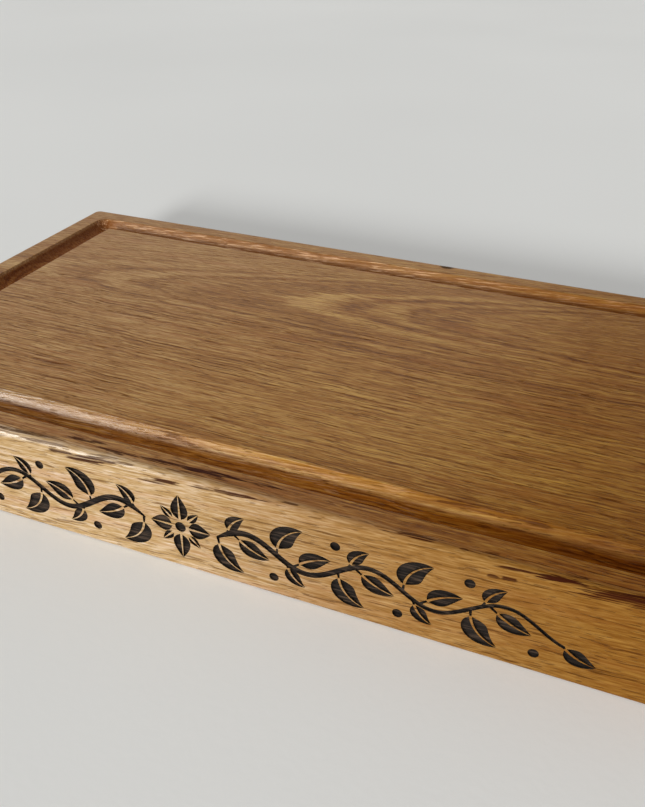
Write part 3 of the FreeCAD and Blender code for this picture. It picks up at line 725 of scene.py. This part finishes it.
def garland():
    right = half_garland()
    left = [[(-x, z) for x, z in outline] for outline in right]
    middle = [round_outline((0, 0), EYE_RADIUS)]
    for quarter in range(4):
        turn = math.pi / 2 * quarter
        start = (PETAL_START * math.cos(turn), PETAL_START * math.sin(turn))
        middle += leaf_outlines(start, turn, PETAL_LENGTHS[quarter % 2], PETAL_WIDTH, 0.0)
        turn += math.pi / 4
        start = (SHORT_START * math.cos(turn), SHORT_START * math.sin(turn))
        middle += leaf_outlines(start, turn, SHORT_LENGTH, SHORT_WIDTH, 0.0)
    return right + left + middle


def prisms(outlines, front, back):
    """A mesh of upright walls round each outline, closed in front and behind."""
    shape = bmesh.new()
    for outline in outlines:
        area = sum(a[0] * b[1] - b[0] * a[1] for a, b in zip(outline, outline[1:] + outline[:1]))
        points = outline if area > 0 else outline[::-1]
        near = [shape.verts.new((x * MM, front, (BAND_MIDDLE + z) * MM)) for x, z in points]
        far = [shape.verts.new((x * MM, back, (BAND_MIDDLE + z) * MM)) for x, z in points]
        shape.faces.new(near)
        shape.faces.new(far[::-1])
        for index in range(len(points)):
            after = (index + 1) % len(points)
            shape.faces.new((near[after], near[index], far[index], far[after]))
    bmesh.ops.recalc_face_normals(shape, faces=shape.faces)
    mesh = bpy.data.meshes.new("garland_cutter")
    shape.to_mesh(mesh)
    shape.free()
    return mesh


def added(name, mesh):
    thing = bpy.data.objects.new(name, mesh)
    bpy.context.scene.collection.objects.link(thing)
    return thing


def carved_rail(oak, charred):
    """The front rail with the garland cut into its face."""
    mesh = nodes["front_rail"].data.copy()
    mesh.attributes.remove(mesh.attributes["custom_normal"])
    shape = bmesh.new()
    shape.from_mesh(mesh)
    bmesh.ops.remove_doubles(shape, verts=shape.verts, dist=WELD)
    shape.to_mesh(mesh)
    shape.free()
    mesh.materials.clear()
    mesh.materials.append(oak)
    rail = added("front_rail_carved", mesh)
    front, back = FACE_Y - CUT_OVERRUN * MM, FACE_Y + CARVE_DEPTH * MM
    cutter = added("garland_cutter", prisms(garland(), front, back))
    cutter.data.materials.append(charred)
    cut = rail.modifiers.new("garland", "BOOLEAN")
    cut.operation = "DIFFERENCE"
    cut.solver = "EXACT"
    cut.use_self = True
    cut.material_mode = "TRANSFER"
    cut.object = cutter
    bpy.context.view_layer.update()
    graph = bpy.context.evaluated_depsgraph_get()
    carved = bpy.data.meshes.new_from_object(rail.evaluated_get(graph))
    rail.modifiers.clear()
    rail.data = carved
    bpy.data.objects.remove(cutter)
    carved.shade_smooth()
    carved.set_sharp_from_angle(angle=SHARP)
    even = rail.modifiers.new("even", "WEIGHTED_NORMAL")
    even.keep_sharp = True
    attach(rail, "board")
    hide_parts("front_rail")


def dress(material, *names):
    for name in names:
        slots = nodes[name].data.materials
        slots.clear()
        slots.append(material)


oak = oak_block()
dress(oak, "top_panel", "front_rail", "rear_rail")
dress(oak_across("oak_fronts", (0, -40 * MM, -90 * MM)), "left_drawer_front", "right_drawer_front")
dress(oak_across("oak_divider", (0, 30 * MM, -60 * MM)), "centre_divider")
dress(
    beech(),
    *("front_tongue", "rear_tongue", "divider_dowels"),
    *("left_front_runner", "left_rear_runner", "right_front_runner", "right_rear_runner"),
)
dress(plywood(), "base_panel")
dress(brushed_steel(), "left_tray", "right_tray")
dress(screw_steel(), "base_screws", "runner_screws", "left_tray_screws", "right_tray_screws")
carved_rail(oak, charred_oak())

# Stage: floor, world, window light and camera

FLOOR_SPAN = 60.0
FLOOR_DROP = 0.1 * MM
ROOM_LEFT, ROOM_RIGHT = (1.12, 1.13, 1.14, 1), (0.76, 0.71, 0.64, 1)
ROOM_LOW, ROOM_HIGH = 0.61, 0.23
BACKDROP = srgb(209, 209, 206)


def floor():
    shape = bmesh.new()
    bmesh.ops.create_grid(shape, x_segments=1, y_segments=1, size=FLOOR_SPAN / 2)
    mesh = bpy.data.meshes.new("floor")
    shape.to_mesh(mesh)
    shape.free()
    plane = added("floor", mesh)
    plane.location.z = -FLOOR_DROP
    paint = Paint("floor")
    cloud = paint.noise(paint.spot(), (1.4, 1.4, 1.4), 2)
    colour = paint.ramp(cloud, [(0.3, srgb(231, 232, 231)), (0.7, srgb(236, 237, 236))])
    paper = paint.noise(paint.spot(), (240, 240, 240), 2)
    plane.data.materials.append(paint.surface(colour, 0.7, paper, 0.05 * MM, Specular_IOR_Level=0.2))


def world():
    """A room that is brighter low down and on the left, with a plain pale backdrop."""
    surroundings = bpy.data.worlds.new("studio")
    bpy.context.scene.world = surroundings
    tree = Tree(surroundings)
    x, _, z = tree.parts(tree.node("TexCoord", {}).outputs["Generated"])
    side = tree.mix(tree.ease(x, -0.9, 0.9), ROOM_LEFT, ROOM_RIGHT)
    strength = tree.ease(z, -0.1, 1.0, ROOM_LOW, ROOM_HIGH)
    light = tree.node("Background", {"Color": side, "Strength": strength})
    seen = tree.node("Background", {"Color": BACKDROP})
    rays = tree.node("LightPath", {}).outputs
    pale = tree.most(rays["Is Camera Ray"], rays["Is Glossy Ray"])
    pale = tree.most(pale, rays["Is Transmission Ray"])
    both = tree.node("MixShader", {0: pale, 1: light.outputs[0], 2: seen.outputs[0]})
    tree.node("OutputWorld", {"Surface": both.outputs[0]})


def daylight(name, left, height, spread, strength, colour, shines):
    """Soft light from a far window: degrees to the left of the front, above the floor, and across."""
    data = bpy.data.lights.new(name, "SUN")
    data.angle = math.radians(spread)
    data.energy = strength
    data.color = colour
    lamp = bpy.data.objects.new(name, data)
    bpy.context.scene.collection.objects.link(lamp)
    lamp.visible_camera = False
    lamp.visible_glossy = shines
    turn, rise = math.radians(left), math.radians(height)
    level = math.cos(rise)
    source = Vector((-math.sin(turn) * level, -math.cos(turn) * level, math.sin(rise)))
    lamp.rotation_euler = (-source).to_track_quat("-Z", "Y").to_euler()


# Camera fitted to the photograph's edges
CAMERA_PLACE = (184.907 * MM, -427.391 * MM, 301.042 * MM)
CAMERA_RIGHT = (0.926776, 0.375520, 0.008427)
CAMERA_UP = (-0.205121, 0.487185, 0.848868)
CAMERA_BACK = (0.314661, -0.788439, 0.528538)
CAMERA_LENS = 38.4907
CAMERA_SENSOR = 36.0
CAMERA_CLIP = 0.01


def camera():
    data = bpy.data.cameras.new("camera")
    data.lens = CAMERA_LENS
    data.sensor_width = CAMERA_SENSOR
    data.clip_start = CAMERA_CLIP
    eye = bpy.data.objects.new("camera", data)
    bpy.context.scene.collection.objects.link(eye)
    axes = Matrix((CAMERA_RIGHT, CAMERA_UP, CAMERA_BACK)).transposed().to_4x4()
    eye.matrix_world = Matrix.Translation(CAMERA_PLACE) @ axes
    bpy.context.scene.camera = eye


floor()
world()
daylight("window", left=-9, height=15.5, spread=9, strength=2.8, colour=(1.0, 1.0, 0.98), shines=False)
daylight("glow", left=47, height=30, spread=22, strength=1.35, colour=(1.0, 1.0, 1.0), shines=True)
camera()
bpy.context.scene.view_settings.view_transform = "Standard"
